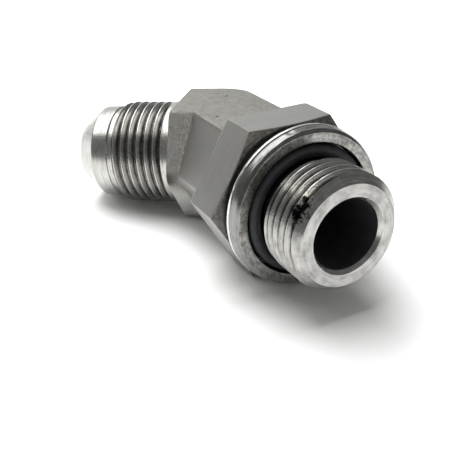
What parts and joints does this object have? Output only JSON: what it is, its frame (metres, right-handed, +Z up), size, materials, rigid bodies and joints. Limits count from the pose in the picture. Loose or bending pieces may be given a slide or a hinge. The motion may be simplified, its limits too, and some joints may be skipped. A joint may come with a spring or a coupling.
{
  "type": "forty-five degree male elbow",
  "caption": "Adjustable forty-five degree tube elbow: male cone-nosed flare end, straight-thread stud end with locknut, backup washer and seal ring, joined by a through passage.",
  "frame": {"origin": "on the table the fitting lies on, under the middle of its outline", "axes": "+Z up, +X along the stud end as seen from above, so that the flare end points back and to the right of it, towards -X and -Y"},
  "size_m": [0.0628, 0.038, 0.0268],
  "materials": {
    "body_steel": "bare forged steel with turned threads, light oil",
    "nut_steel": "bare milled bar steel, satin",
    "washer_steel": "bare turned steel, satin",
    "seal_rubber": "satin nitrile rubber"
  },
  "bodies": {
    "fitting": {"body": "body_steel"},
    "washer_set": {"backup_washer": "washer_steel", "o_ring": "seal_rubber"},
    "nut": {"locknut": "nut_steel"}
  },
  "joints": [
    {"name": "washer_slide", "type": "slide", "parent": "fitting", "child": "washer_set", "axis": [0.9975, 0, 0.071], "range_m": [-0.00159, 0.00079]},
    {"name": "locknut_turn", "type": "hinge", "parent": "washer_set", "child": "nut", "pos_m": [0.00771, 0.00429, 0.01267], "axis": [0.9975, 0, 0.071], "range_deg": [-360, 180]}
  ],
  "couplings": [
    {"joint": "washer_slide", "follows": "locknut_turn", "m_per_rad": 0.00025266}
  ]
}
